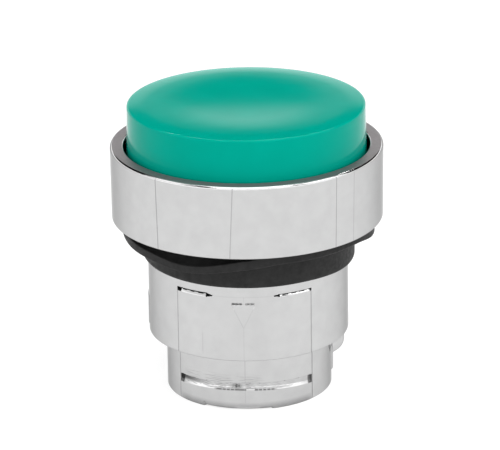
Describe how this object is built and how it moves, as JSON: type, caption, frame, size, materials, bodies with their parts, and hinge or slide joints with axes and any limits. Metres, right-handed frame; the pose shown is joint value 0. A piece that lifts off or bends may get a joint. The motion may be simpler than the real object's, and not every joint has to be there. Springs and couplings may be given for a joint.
{
  "type": "industrial push button",
  "caption": "Spring-return push-button operating head for a panel: projecting green dished cap in a plated round bezel, black rubber panel gasket and a stepped plated barrel.",
  "frame": {"origin": "centre of the barrel's lower end face, which is the lowest plane of the part", "axes": "+Z along the barrel's axis towards the cap; -Y is the front, the side with the triangle mark and the long slot; +X is the right-hand side seen from the front, with the small lug"},
  "size_m": [0.029, 0.029, 0.0314],
  "materials": {
    "chrome_plate": "bright plated die-cast zinc",
    "black_rubber": "matte moulded rubber",
    "green_plastic": "satin moulded plastic",
    "black_nylon": "matte moulded",
    "white_acetal": "smooth natural moulded",
    "spring_steel": "bright drawn steel"
  },
  "bodies": {
    "housing": {"barrel": "chrome_plate", "bezel_ring": "chrome_plate", "panel_gasket": "black_rubber", "guide_plate": "white_acetal", "guide_snap_ring": "spring_steel", "spring_seat_washer": "spring_steel", "wiper_seal": "black_rubber", "seal_clamp_ring": "black_nylon", "return_spring": "spring_steel"},
    "button": {"button_cap": "green_plastic", "cap_carrier": "black_nylon", "plunger": "white_acetal", "stem_circlip": "spring_steel", "actuator_foot": "black_nylon"}
  },
  "joints": [
    {"name": "button_press", "type": "slide", "parent": "housing", "child": "button", "axis": [0, 0, -1], "range_m": [0, 0.0043], "stiffness_N_per_m": 410, "springref_m": -0.0085, "deforming": ["return_spring"]}
  ]
}
